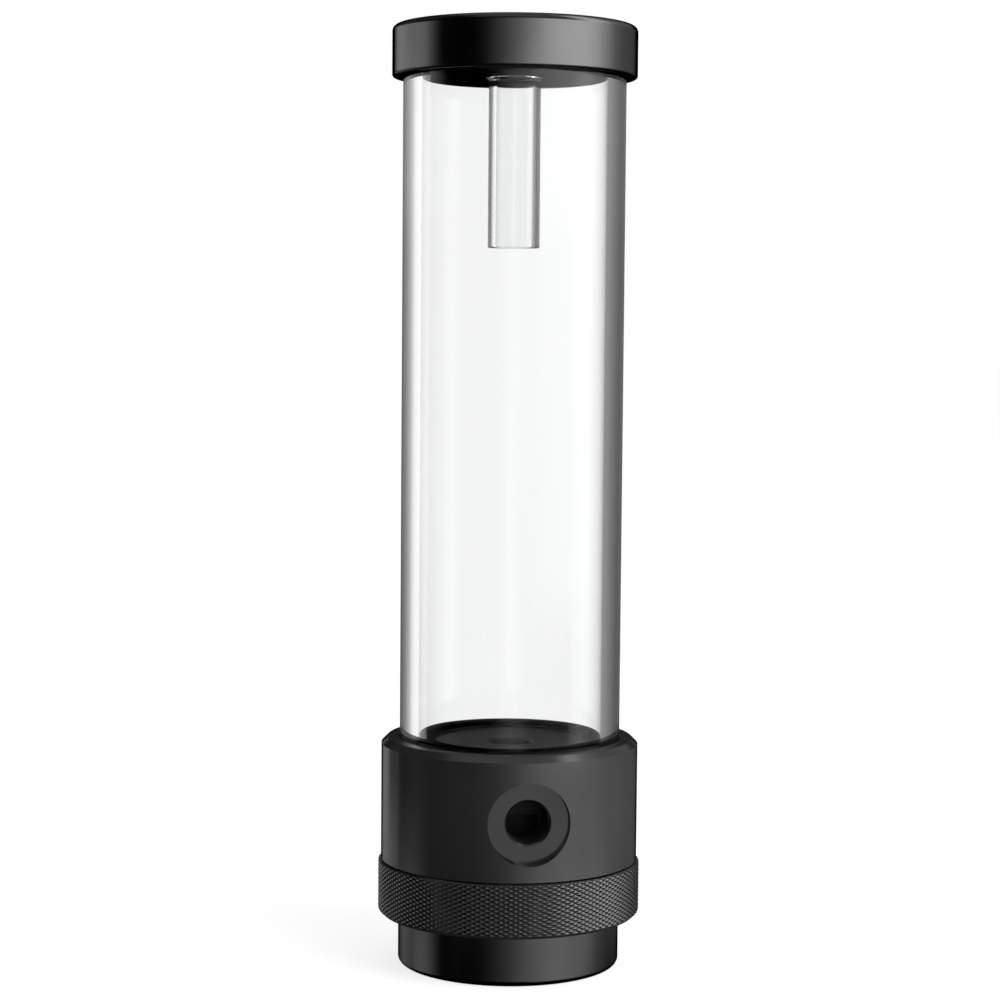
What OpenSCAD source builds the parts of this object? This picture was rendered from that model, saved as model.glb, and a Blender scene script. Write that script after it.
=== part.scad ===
// Coolant pump reservoir: a thick clear tube between a cap and a base, with a canned pump that a
// knurled lock ring clamps into the base. Millimetres. The origin is the centre of the foot's
// underside, +Z runs up the tube, and the outlet port faces -Y.

/* [Reservoir tube] */
// Outer diameter of the clear tube
tube_d = 60; // [59:0.1:60.6]
// Wall of the clear tube
tube_wall = 5; // [4.5:0.1:6]
// Length of the clear tube
tube_len = 191.6; // [120:0.1:300]
// Depth to which the tube stands in the base
tube_seat = 5.8; // [5:0.1:7]
// Depth to which the tube stands in the cap
cap_seat = 7.6; // [6.4:0.1:8.5]
// Section of the ring seals between the tube and its two ends
tube_seal_d = 2; // [1.6:0.1:2.2]

/* [Cap] */
// Wall of the cap round the tube
cap_wall = 3; // [2:0.1:6]
// Height of the cap
cap_h = 13.8; // [13:0.1:18]
// Round on the cap's upper edge
cap_round = 1.6; // [0.5:0.1:2]
// Round on the cap's lower edge
cap_lower_round = 0.8; // [0.3:0.1:1]
// Wall between the fill port and the tube
fill_wall = 2.4; // [2:0.1:3]
// Height of the fill plug's head
plug_head_h = 3; // [2.5:0.1:3.5]
// Diameter of the fill plug's head
plug_head_d = 16.8; // [15.5:0.1:17]
// Length of the fill plug below its head
plug_shank = 7; // [5:0.1:7.5]
// Width across the flats of the fill plug's hexagon socket
plug_hex = 6; // [4:0.5:8]

/* [Drop tube] */
// Outer diameter of the tube that brings the returning coolant down from the cap
drop_d = 14; // [12:0.1:14.4]
// Bore of the drop tube
drop_bore = 10; // [8:0.1:10.8]
// Length of the drop tube
drop_len = 50.5; // [20:0.5:120]
// Depth of the drop tube's socket in the cap
drop_seat = 5.3; // [4.5:0.1:6]
// Section of the ring seal that grips the drop tube
drop_seal_d = 1; // [0.8:0.1:1.1]

/* [Base] */
// Height of the base above the lock ring
base_h = 33.1; // [32.5:0.1:40]
// Chamfer round the base's upper edge
base_chamfer = 1.6; // [0.5:0.1:2]
// Width of the ledge round the plate in the reservoir's floor
floor_ledge = 4.5; // [4:0.1:8]
// Thickness of the floor plate at its rim
floor_plate_t = 3; // [2.4:0.1:3.5]
// Depth of the floor plate below the base's top face
floor_plate_drop = 0.8; // [0.2:0.1:1.2]
// Diameter of the suction hole that runs from the floor plate to the pump
suction_d = 12; // [10:0.1:13]
// Section of the ring seal under the floor plate
floor_seal_d = 1.6; // [1.2:0.1:1.8]

/* [Ports] */
// Wall diameter of the G1/4 tapped ports
port_d = 11.445; // [11.3:0.005:11.9]
// Chamfer at a port's mouth
port_chamfer = 0.5; // [0.3:0.1:0.8]
// Distance of the outlet port's axis above the volute's roof
port_lift = 7.1; // [6.5:0.1:9]
// Diameter of the flat round the outlet port
spot_d = 22; // [20:0.1:23]
// Depth of that flat below the base's side
spot_depth = 3.3; // [2.6:0.1:3.8]
// Diameter of the riser that joins the volute to the outlet port
riser_d = 9; // [8:0.1:9.6]
// Distance of the riser from the base's axis
riser_out = 19.4; // [19:0.1:19.8]

/* [Volute and impeller] */
// Height of the volute above the pump's flange
volute_h = 13.5; // [13:0.1:14]
// Gap between the impeller and the volute where the volute starts
volute_gap = 1.1; // [1:0.1:1.5]
// Growth of the volute's radius with each quarter turn
volute_step = 1.5; // [1:0.1:1.8]
// Diameter of the impeller
impeller_d = 33; // [30:0.1:33.4]
// Number of the impeller's vanes
vane_count = 6; // [4:1:9]
// Thickness of a vane
vane_t = 1.4; // [1:0.1:2]
// Radius to which a vane is curved
vane_curve = 12; // [10:0.5:16]
// Diameter of the impeller's eye
eye_d = 14; // [12:0.1:15]
// Running clearance round the impeller and the rotor
run_gap = 0.5; // [0.4:0.05:0.6]

/* [Lock ring] */
// Wall of the lock ring outside its thread, knurl included
ring_wall = 2.85; // [2.4:0.05:5]
// Height of the lock ring
ring_h = 14.6; // [14:0.1:18]
// Height of the lip that carries the pump's collar
lip_h = 5; // [4:0.1:5.5]
// Depth of the thread between the lock ring and the base, inside which the pump's collar passes
thread_h = 1.1; // [0.8:0.1:1.5]
// Step from that thread to the base's side
thread_step = 2; // [1.5:0.1:3]
// Number of diamonds round the knurl
knurl_count = 88; // [40:4:96]
// Number of diamonds in the knurl's height
knurl_rows = 11; // [5:1:12]
// Depth of the knurl
knurl_depth = 0.42; // [0.2:0.02:0.5]
// Plain edge above the knurl
knurl_top = 0.5; // [0.4:0.1:1]
// Plain edge below the knurl
knurl_bottom = 0.9; // [0.6:0.1:1.5]

/* [Pump] */
// Height of the foot below the lock ring
foot_show = 14; // [13.4:0.1:20]
// Round on the foot's lower edge
foot_round = 1.5; // [0.5:0.1:2]
// Wall of the housing
housing_wall = 2.2; // [1.8:0.1:2.4]
// Thickness of the housing's floor
housing_floor = 2.5; // [2:0.1:2.6]
// Height of the collar by which the pump is clamped
collar_h = 2.5; // [2:0.1:3]
// How far the collar stands out from the housing
collar_out = 1.7; // [1.5:0.1:2]
// Bore of the cable's outlet
cable_d = 3.2; // [2:0.1:4]

/* [Motor] */
// Inner radius of the separator can's bowl
bowl_r = 16.5; // [16:0.1:16.8]
// Thickness of the separator can
can_t = 0.9; // [0.7:0.05:1]
// Height of the bearing ball's centre above the pump's flange
ball_rise = 1; // [0.6:0.1:1.4]
// Diameter of the bearing ball
ball_d = 6.4; // [5:0.1:7]
// Diameter of the bearing post
post_d = 4.4; // [3:0.1:4.6]
// Number of poles on the stator
pole_count = 6; // [3:1:7]
// Width of a pole
pole_w = 6; // [4:0.1:6.6]
// Height of the stator
stator_h = 11; // [9:0.1:11.5]
// Thickness of the stator's outer ring
stator_yoke = 3.6; // [3:0.1:4]
// Thickness of a winding round its pole
coil_t = 2.2; // [1.2:0.1:2.4]
// Length of a winding along its pole
coil_len = 6.35; // [5:0.05:8]

/* [Driver board] */
// Thickness of the driver board
board_t = 1.4; // [1:0.1:1.6]
// Height of the studs that carry the board
board_stand = 1.5; // [1.2:0.1:1.8]
// Number of screws that hold the board
screw_count = 3; // [3:1:4]
// Diameter of those screws
screw_d = 2; // [1.6:0.1:2.5]

/* [Fits and seals] */
// Clearance of pieces that slide together
slide_fit = 0.1; // [0.05:0.01:0.15]
// Clearance between pieces that turn or drop past each other
turn_fit = 0.15; // [0.12:0.01:0.2]
// Gap between the lock ring and the base's shoulder
ring_gap = 0.3; // [0.2:0.05:0.6]
// Thickness of the slip washer on the lip
washer_t = 0.5; // [0.3:0.1:0.8]
// Thickness of the gasket under the separator can
gasket_t = 0.45; // [0.3:0.05:0.6]
// Section of the ring seal between the pump and the base
pump_seal_d = 1.5; // [1.2:0.1:1.6]

/* [Hidden] */
$fn = 96;
cut = 1; // how far a cutting shape reaches past the face that it cuts

// Heights, from the foot up
ring_z = foot_show;
ring_top = ring_z + ring_h;
washer_z = ring_z + lip_h;
collar_z = washer_z + washer_t + turn_fit;
collar_top = collar_z + collar_h;
flange_z = collar_top + gasket_t;
seat_z = flange_z + can_t;
shoulder_z = ring_top + ring_gap;
base_top = shoulder_z + base_h;
tube_z = base_top - tube_seat;
tube_top = tube_z + tube_len;
cap_z = tube_top - cap_seat;
cap_top = cap_z + cap_h;
volute_top = seat_z + volute_h;
port_z = volute_top + port_lift;

// Radii of the pump, from the motor's bowl out to the base and the lock ring
can_r = bowl_r + can_t;
stator_fit = 2 * slide_fit;
coil_in = can_r + 0.3;
stator_r = coil_in + coil_len + stator_fit + stator_yoke;
inner_r = stator_r + turn_fit;
housing_r = inner_r + housing_wall;
lip_r = housing_r + 2 * turn_fit;
collar_r = housing_r + collar_out;
thread_r = collar_r + thread_h;
ring_bore_r = thread_r + turn_fit;
base_r = thread_r + thread_step;
spot_out = base_r - spot_depth;

// Radii of the tube and of what it meets
tube_r = tube_d / 2;
bore_r = tube_r - tube_wall;
boss_r = bore_r - slide_fit;
groove_r = tube_r + slide_fit;
cap_r = tube_r + cap_wall;
port_r = port_d / 2;
fill_port_out = boss_r - port_r - fill_wall;
drop_r = drop_d / 2;

// Floor plate
plate_r = bore_r - floor_ledge;
plate_z = base_top - floor_plate_drop - floor_plate_t;
plate_dish = 0.3; // how much lower the plate is at its hole than at its rim

// Ring seals: the radius and height of each one's centre line
seal_fit = slide_fit / 2;
seal_inset = 1.7; // from the end of a boss to the seal round it
tube_seal_r = bore_r - tube_seal_d / 2 - seal_fit;
lower_seal_z = base_top - seal_inset - tube_seal_d / 2;
upper_seal_z = cap_z + seal_inset + tube_seal_d / 2;
floor_seal_r = (plate_r + suction_d / 2) / 2 + 3;
floor_seal_z = plate_z - floor_seal_d / 2;
pump_seal_r = collar_r - pump_seal_d - 1;
pump_seal_z = seat_z + turn_fit + pump_seal_d / 2;

// Pump: the motor and the rotor follow the ball's centre
ball_z = seat_z + ball_rise;
ball_r = ball_d / 2;
rotor_r = bowl_r - run_gap - slide_fit;
stator_drop = 10; // from the ball's centre to the middle of the stator
stator_mid = ball_z - stator_drop;
stator_z = stator_mid - stator_h / 2;
stator_ledge = 1.4;
pole_gap = 0.4;
pole_h = stator_h - 2 * coil_t - 0.6;
board_z = housing_floor + board_stand;
board_top = board_z + board_t;
board_r = inner_r - stator_ledge - 2 * slide_fit;
board_hole_r = 7.5;
screw_out = board_r - 3.2;
stud_r = 2.6;
screw_tip_z = housing_floor + 0.3;
cable_z = (housing_floor + stator_z) / 2;
outlet_r = cable_z - housing_floor - 0.25;

// Impeller, from the rotor's flat top up to the volute's roof
hub_z = ball_z + run_gap;
hub_t = 2;
vane_z = hub_z + hub_t;
eye_r = eye_d / 2;
impeller_r = impeller_d / 2;
volute_r = impeller_r + volute_gap;
shroud_t = 1.2;
eye_lip = 1.3;
impeller_top = volute_top - run_gap;
shroud_z = impeller_top - eye_lip - shroud_t;
cup_r = ball_r + 2.2;
cup_h = ball_r + 1.6;

// Cap
plug_z = cap_top - plug_head_h;
socket_top = cap_z + drop_seat;
drop_top = socket_top - turn_fit;
plug_seal_d = 1.1;
plug_seal_r = port_r + plug_seal_d / 2 + slide_fit;
plug_seal_z = plug_z - turn_fit - plug_seal_d / 2;
drop_seal_z = cap_z + drop_seat / 2;
drop_seal_r = drop_r + drop_seal_d / 2 + seal_fit;

// Knurl
knurl_z = ring_z + knurl_bottom;
knurl_h = ring_h - knurl_top - knurl_bottom;
peak_r = thread_r + ring_wall;
valley_r = peak_r - knurl_depth;
core_r = valley_r - 0.2;

// A round bar from z up, and the same with a bore
module bar(r, z, h) { translate([0, 0, z]) cylinder(r = r, h = h); }
module sleeve(r_out, r_in, z, h) {
    difference() {
        bar(r_out, z, h);
        bar(r_in, z - cut, h + 2 * cut);
    }
}

// A ring seal of round section: radius of its centre line, section and height of its centre
module ring_seal(r_mid, section, z) {
    rotate_extrude() translate([r_mid, z]) circle(d = section, $fn = 48);
}

// The square groove that such a seal lies in
module seal_groove(r_mid, section, z) {
    room = section / 2 + seal_fit;
    sleeve(r_mid + room, r_mid - room, z - room, 2 * room);
}

// Half profile of a round body whose outer corners are rounded: radius, heights and the rounds
module rounded_profile(r, z, h, low_round, high_round) {
    difference() {
        translate([0, z]) square([r, h]);
        translate([r - low_round, z + low_round]) corner_cut(low_round, -1);
        translate([r - high_round, z + h - high_round]) corner_cut(high_round, 1);
    }
}
module corner_cut(round, up) {
    mirror([0, up < 0 ? 1 : 0]) difference() {
        square(round + cut);
        circle(round);
    }
}

// A tapped port's hole with a chamfered mouth, from z = 0 down
module port_hole(depth) {
    translate([0, 0, -depth]) cylinder(r = port_r, h = depth + cut);
    translate([0, 0, -port_chamfer])
        cylinder(r1 = port_r, r2 = port_r + port_chamfer + cut, h = port_chamfer + cut);
}

// The volute's outline: four quarter circles whose radius grows by one step each, drawn about the
// corners of a small square so that they meet without a kink. The wide end faces the outlet.
module volute_outline() {
    half = volute_step / 2;
    centres = [[-half, half], [-half, -half], [half, -half], [half, half]];
    circle(volute_r - volute_step);
    for (k = [0:3]) translate(centres[k]) rotate(90 * k) intersection() {
        circle(volute_r + k * volute_step);
        square(2 * volute_r);
    }
}
volute_turn = -72; // puts the wide end of the spiral under the outlet port

module base_manifold() {
    color("#1f2022") difference() {
        union() {
            rotate_extrude() polygon([
                [0, shoulder_z], [base_r, shoulder_z], [base_r, base_top - base_chamfer],
                [base_r - base_chamfer, base_top], [0, base_top]
            ]);
            bar(thread_r, seat_z, shoulder_z - seat_z + cut);
        }
        sleeve(groove_r, boss_r, tube_z - slide_fit, tube_seat + slide_fit + cut);
        seal_groove(tube_seal_r, tube_seal_d, lower_seal_z);
        bar(plate_r + slide_fit, plate_z, base_top - plate_z + cut);
        seal_groove(floor_seal_r, floor_seal_d, floor_seal_z);
        bar(suction_d / 2, volute_top - cut, base_top - volute_top);
        translate([0, 0, seat_z - cut]) linear_extrude(volute_h + cut)
            rotate(volute_turn) volute_outline();
        sleeve(pump_seal_r + pump_seal_d / 2 + slide_fit, pump_seal_r - pump_seal_d / 2 - slide_fit,
            seat_z - cut, pump_seal_d + turn_fit + seal_fit + cut);
        translate([0, -riser_out, volute_top - cut])
            cylinder(d = riser_d, h = port_z - volute_top + cut);
        translate([0, -spot_out, port_z]) rotate([90, 0, 0]) {
            port_hole(spot_out - riser_out);
            cylinder(d = spot_d, h = base_r);
        }
    }
}

module floor_plate() {
    plate_top = plate_z + floor_plate_t;
    color("#2b2c2e") rotate_extrude() polygon([
        [suction_d / 2, plate_z], [plate_r, plate_z], [plate_r, plate_top],
        [suction_d / 2 + 0.5, plate_top - plate_dish], [suction_d / 2, plate_top - plate_dish - 0.5]
    ]);
}

module floor_seal() {
    color("#0c0c0d") ring_seal(floor_seal_r, floor_seal_d, floor_seal_z);
}

module reservoir_tube() { color([0.9, 0.95, 0.97, 0.35]) sleeve(tube_r, bore_r, tube_z, tube_len); }

module tube_seal_lower() { color("#0c0c0d") ring_seal(tube_seal_r, tube_seal_d, lower_seal_z); }
module tube_seal_upper() { color("#0c0c0d") ring_seal(tube_seal_r, tube_seal_d, upper_seal_z); }

module top_cap() {
    color("#151516") difference() {
        rotate_extrude() rounded_profile(cap_r, cap_z, cap_h, cap_lower_round, cap_round);
        sleeve(groove_r, boss_r, cap_z - cut, cap_seat + slide_fit + cut);
        seal_groove(tube_seal_r, tube_seal_d, upper_seal_z);
        bar(drop_r + slide_fit, cap_z - cut, drop_seat + cut);
        seal_groove(drop_seal_r, drop_seal_d, drop_seal_z);
        translate([0, 0, cap_top]) port_hole(cap_top - socket_top + cut);
        translate([0, fill_port_out, 0]) {
            bar(port_r, cap_z - cut, cap_h);
            bar(plug_head_d / 2 + 2 * slide_fit, plug_z - turn_fit, plug_head_h + cut);
            seal_groove(plug_seal_r, plug_seal_d, plug_seal_z);
        }
    }
}

module drop_tube() {
    color([0.9, 0.95, 0.97, 0.35]) sleeve(drop_r, drop_bore / 2, drop_top - drop_len, drop_len);
}

module drop_tube_seal() { color("#0c0c0d") ring_seal(drop_seal_r, drop_seal_d, drop_seal_z); }

module fill_plug() {
    color("#151516") translate([0, fill_port_out, 0]) difference() {
        union() {
            rotate_extrude() rounded_profile(plug_head_d / 2, plug_z, plug_head_h, 0.2, 0.4);
            bar(port_r - 1.5 * turn_fit, plug_z - plug_shank, plug_shank + cut);
        }
        translate([0, 0, plug_z - 1]) cylinder(d = plug_hex / cos(30), h = plug_head_h + 1 + cut, $fn = 6);
    }
}
module fill_plug_seal() {
    color("#0c0c0d") translate([0, fill_port_out, 0])
        ring_seal(plug_seal_r, plug_seal_d, plug_seal_z);
}

// The knurl is a sheet of points on a grid round the ring, whose radius alternates between peak and
// valley. Each cell is split along its valleys, which leaves a pyramid on every peak.
knurl_cols = 2 * knurl_count;
knurl_levels = 2 * knurl_rows;
function knurl_point(c, l) =
    let (r = (c + l) % 2 == 0 ? peak_r : valley_r, a = 360 * c / knurl_cols)
    [r * cos(a), r * sin(a), knurl_z + knurl_h * l / knurl_levels];
function inner_point(c, z) =
    let (a = 360 * c / knurl_cols) [(core_r - 0.4) * cos(a), (core_r - 0.4) * sin(a), z];
function grid(c, l) = l * knurl_cols + c % knurl_cols;
function cell(c, l) = (c + l) % 2 == 0
    ? [[grid(c, l), grid(c, l + 1), grid(c + 1, l)],
       [grid(c + 1, l), grid(c, l + 1), grid(c + 1, l + 1)]]
    : [[grid(c, l), grid(c, l + 1), grid(c + 1, l + 1)],
       [grid(c, l), grid(c + 1, l + 1), grid(c + 1, l)]];
module knurl() {
    low = knurl_levels + 1;
    high = knurl_levels + 2;
    points = concat(
        [for (l = [0:knurl_levels], c = [0:knurl_cols - 1]) knurl_point(c, l)],
        [for (c = [0:knurl_cols - 1]) inner_point(c, knurl_z)],
        [for (c = [0:knurl_cols - 1]) inner_point(c, knurl_z + knurl_h)]);
    faces = concat(
        [for (l = [0:knurl_levels - 1], c = [0:knurl_cols - 1]) for (f = cell(c, l)) f],
        [for (c = [0:knurl_cols - 1]) [grid(c, 0), grid(c + 1, 0), grid(c + 1, low), grid(c, low)]],
        [for (c = [0:knurl_cols - 1]) [grid(c, low), grid(c + 1, low), grid(c + 1, high), grid(c, high)]],
        [for (c = [0:knurl_cols - 1])
            [grid(c, high), grid(c + 1, high), grid(c + 1, knurl_levels), grid(c, knurl_levels)]]);
    polyhedron(points = points, faces = faces, convexity = 4);
}

module lock_ring() {
    color("#1b1b1d") union() {
        rotate_extrude() polygon([
            [lip_r, ring_z], [core_r - knurl_bottom / 2, ring_z], [core_r, ring_z + knurl_bottom / 2],
            [core_r, ring_top - knurl_top / 2], [core_r - knurl_top / 2, ring_top],
            [ring_bore_r, ring_top], [ring_bore_r, washer_z], [lip_r, washer_z]
        ]);
        knurl();
    }
}

module slip_washer() {
    color("#d8d8d2") sleeve(thread_r - turn_fit, lip_r + turn_fit, washer_z, washer_t);
}

module pump_housing() {
    color("#121213") difference() {
        union() {
            rotate_extrude() rounded_profile(housing_r, 0, collar_z + cut, foot_round, slide_fit);
            bar(collar_r, collar_z, collar_h);
        }
        bar(inner_r - stator_ledge, housing_floor, collar_top);
        bar(inner_r, stator_z, collar_top);
        translate([0, inner_r - stator_ledge - cut, cable_z]) rotate([-90, 0, 0])
            cylinder(r = outlet_r, h = housing_r);
    }
    color("#121213") for (k = [0:screw_count - 1]) rotate(360 * (k + 0.5) / screw_count)
        translate([screw_out, 0, 0]) difference() {
            bar(stud_r, housing_floor - cut, board_stand + cut);
            bar((screw_d + slide_fit) / 2, screw_tip_z - slide_fit, board_stand + cut);
        }
}

module cable_grommet() {
    lip = 1;
    color("#0c0c0d") translate([0, 0, cable_z]) difference() {
        union() {
            translate([0, inner_r - stator_ledge, 0]) rotate([-90, 0, 0])
                cylinder(r = outlet_r - slide_fit, h = housing_r - inner_r + stator_ledge + lip);
            difference() {
                translate([0, inner_r, 0]) rotate([-90, 0, 0])
                    cylinder(r = outlet_r + lip, h = housing_r - inner_r + lip);
                cylinder(r = housing_r + slide_fit, h = 4 * outlet_r, center = true);
            }
        }
        rotate([-90, 0, 0]) cylinder(d = cable_d, h = 2 * housing_r);
    }
}

module driver_board() {
    color("#17502f") difference() {
        sleeve(board_r, board_hole_r, board_z, board_t);
        for (k = [0:screw_count - 1]) rotate(360 * (k + 0.5) / screw_count)
            translate([screw_out, 0, 0]) bar(screw_d / 2 + slide_fit, board_z - cut, board_t + 2 * cut);
    }
}

module board_parts() {
    ring_r = (board_r + board_hole_r) / 2;
    can_h = 1.8;
    for (k = [0:2]) rotate(120 * k) translate([ring_r, 0, 0]) {
        color("#b9bcc0") translate([0, 4.5, board_top]) cylinder(d = 5, h = can_h);
        color("#1a1a1a") translate([-2.5, -6, board_top]) cube([5, 6, 1.2]);
    }
}

module board_screws() {
    color("#c8c8c8") for (k = [0:screw_count - 1]) rotate(360 * (k + 0.5) / screw_count)
        translate([screw_out, 0, 0]) difference() {
            union() {
                bar((screw_d - slide_fit) / 2, screw_tip_z, board_top - screw_tip_z + slide_fit);
                bar(screw_d * 0.9, board_top, 1.2);
            }
            translate([-screw_d, -0.25, board_top + 0.7]) cube([2 * screw_d, 0.5, cut]);
        }
}

module stator_core() {
    color("#8a8d90") difference() {
        union() {
            sleeve(stator_r, stator_r - stator_yoke, stator_z, stator_h);
            for (k = [0:pole_count - 1]) rotate(360 * k / pole_count)
                translate([bowl_r / 2, -pole_w / 2, stator_mid - pole_h / 2])
                    cube([stator_r - stator_yoke / 2 - bowl_r / 2, pole_w, pole_h]);
        }
        translate([0, 0, ball_z]) sphere(r = can_r + pole_gap);
    }
}

module stator_coils() {
    color("#b4652c") intersection() {
        bar(coil_in + coil_len, stator_z - cut, stator_h + 2 * cut);
        for (k = [0:pole_count - 1]) rotate(360 * k / pole_count)
            translate([coil_in, 0, stator_mid]) rotate([90, 0, 90]) linear_extrude(coil_len)
                difference() {
                    square([pole_w + 2 * coil_t, pole_h + 2 * coil_t], center = true);
                    square([pole_w + stator_fit, pole_h + stator_fit], center = true);
                }
    }
}

// The bowl is part of a sphere about the bearing ball's centre, so that the rotor runs free in it
module separator_can() {
    color("#c9ccd0") difference() {
        union() {
            bar(collar_r - slide_fit, flange_z, can_t);
            intersection() {
                translate([0, 0, ball_z]) sphere(r = can_r);
                bar(2 * can_r, ball_z - 2 * can_r, flange_z + cut / 2 - ball_z + 2 * can_r);
            }
        }
        translate([0, 0, ball_z]) sphere(r = bowl_r);
    }
}

module can_gasket() {
    color("#3a3a3c") sleeve(collar_r - slide_fit, inner_r + slide_fit, collar_top, gasket_t);
}

module pump_seal() {
    color("#0c0c0d") ring_seal(pump_seal_r, pump_seal_d, pump_seal_z);
}

module bearing_post() {
    foot_r = post_d;
    foot_h = 1.4;
    color("#9a9da1") difference() {
        union() {
            bar(post_d / 2, ball_z - bowl_r + foot_h / 2, bowl_r - foot_h / 2);
            intersection() {
                bar(foot_r, ball_z - bowl_r, foot_h);
                translate([0, 0, ball_z]) sphere(r = bowl_r - slide_fit / 2);
            }
        }
        translate([0, 0, ball_z]) sphere(r = ball_r + slide_fit / 2);
        bar(2 * ball_r, ball_z - ball_r / 2, 2 * ball_r);
    }
}

module bearing_ball() { color("#f1efe8") translate([0, 0, ball_z]) sphere(d = ball_d); }

module rotor_magnet() {
    color("#3c3d40") difference() {
        intersection() {
            translate([0, 0, ball_z]) sphere(r = rotor_r);
            bar(2 * rotor_r, ball_z - 2 * rotor_r, 2 * rotor_r + run_gap);
        }
        bar(cup_r + slide_fit, ball_z - 2 * rotor_r, 3 * rotor_r);
    }
}

// One vane: a quarter of a thin ring that leaves the hub straight out and bends back
module vane() {
    translate([eye_r - 1, -vane_curve]) intersection() {
        difference() {
            circle(vane_curve);
            circle(vane_curve - vane_t);
        }
        square(vane_curve + cut);
    }
}

module impeller() {
    boss_wall = 1.2;
    boss_top = ball_z + cup_h + 1.4;
    color("#e2e0d8") difference() {
        union() {
            bar(impeller_r, hub_z, hub_t);
            bar(cup_r + boss_wall, hub_z, boss_top - hub_z);
            translate([0, 0, hub_z + hub_t / 2]) linear_extrude(shroud_z - hub_z)
                intersection() {
                    circle(impeller_r - 2 * slide_fit);
                    for (k = [0:vane_count - 1]) rotate(360 * k / vane_count) vane();
                }
            sleeve(impeller_r, eye_r, shroud_z, shroud_t);
            sleeve(eye_r + shroud_t, eye_r, shroud_z, shroud_t + eye_lip);
        }
        bar(cup_r + slide_fit, hub_z - cut, ball_z + cup_h + slide_fit - hub_z + cut);
    }
}

module bearing_cup() {
    color("#4a4b4e") difference() {
        bar(cup_r, ball_z, cup_h);
        translate([0, 0, ball_z]) sphere(r = ball_r + slide_fit / 2);
    }
}

base_manifold();
floor_plate();
floor_seal();
reservoir_tube();
tube_seal_lower();
tube_seal_upper();
top_cap();
drop_tube();
drop_tube_seal();
fill_plug();
fill_plug_seal();
lock_ring();
slip_washer();
pump_housing();
cable_grommet();
driver_board();
board_parts();
board_screws();
stator_core();
stator_coils();
separator_can();
can_gasket();
pump_seal();
bearing_post();
bearing_ball();
rotor_magnet();
impeller();
bearing_cup();
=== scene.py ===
"""Looks of the coolant pump reservoir: fine pieces, finishes, light and camera."""

from __future__ import annotations

import logging
import math
from dataclasses import dataclass
from enum import Enum
from functools import reduce

import bmesh
import bpy
from mathutils import Matrix, Vector

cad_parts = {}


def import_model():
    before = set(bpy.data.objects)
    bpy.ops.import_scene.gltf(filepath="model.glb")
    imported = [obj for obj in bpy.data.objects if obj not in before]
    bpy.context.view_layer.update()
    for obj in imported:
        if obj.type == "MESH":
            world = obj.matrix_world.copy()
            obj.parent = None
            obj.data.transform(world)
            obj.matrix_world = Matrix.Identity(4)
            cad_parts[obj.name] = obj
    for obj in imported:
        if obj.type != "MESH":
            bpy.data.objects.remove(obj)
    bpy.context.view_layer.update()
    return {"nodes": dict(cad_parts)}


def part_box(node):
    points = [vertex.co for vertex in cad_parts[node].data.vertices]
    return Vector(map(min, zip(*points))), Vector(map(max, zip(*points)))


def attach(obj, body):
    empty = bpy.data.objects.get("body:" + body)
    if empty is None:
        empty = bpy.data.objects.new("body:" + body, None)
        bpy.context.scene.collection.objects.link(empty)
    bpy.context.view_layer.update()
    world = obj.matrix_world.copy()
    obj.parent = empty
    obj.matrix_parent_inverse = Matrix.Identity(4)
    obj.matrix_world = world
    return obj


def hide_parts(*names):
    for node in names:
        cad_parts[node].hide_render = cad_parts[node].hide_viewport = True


log = logging.getLogger("reservoir")
MM = 0.001
FULL_TURN = 2 * math.pi
WELD = 1e-7
CENTRE, UPRIGHT = (0, 0, 0), (0, 0, 1)
Colour = tuple[float, float, float]
Pairs = tuple[tuple[float, float], ...]
Socket = bpy.types.NodeSocket


class Body(Enum):
    """The CAD bodies that the fine pieces ride on."""

    RESERVOIR = "reservoir"
    LOCK_RING = "lock_ring"
    FILL_PLUG = "fill_plug"


class Hand(Enum):
    """Which side of the wall a thread's ridge stands on."""

    OUTSIDE = 1
    INSIDE = -1


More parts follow.
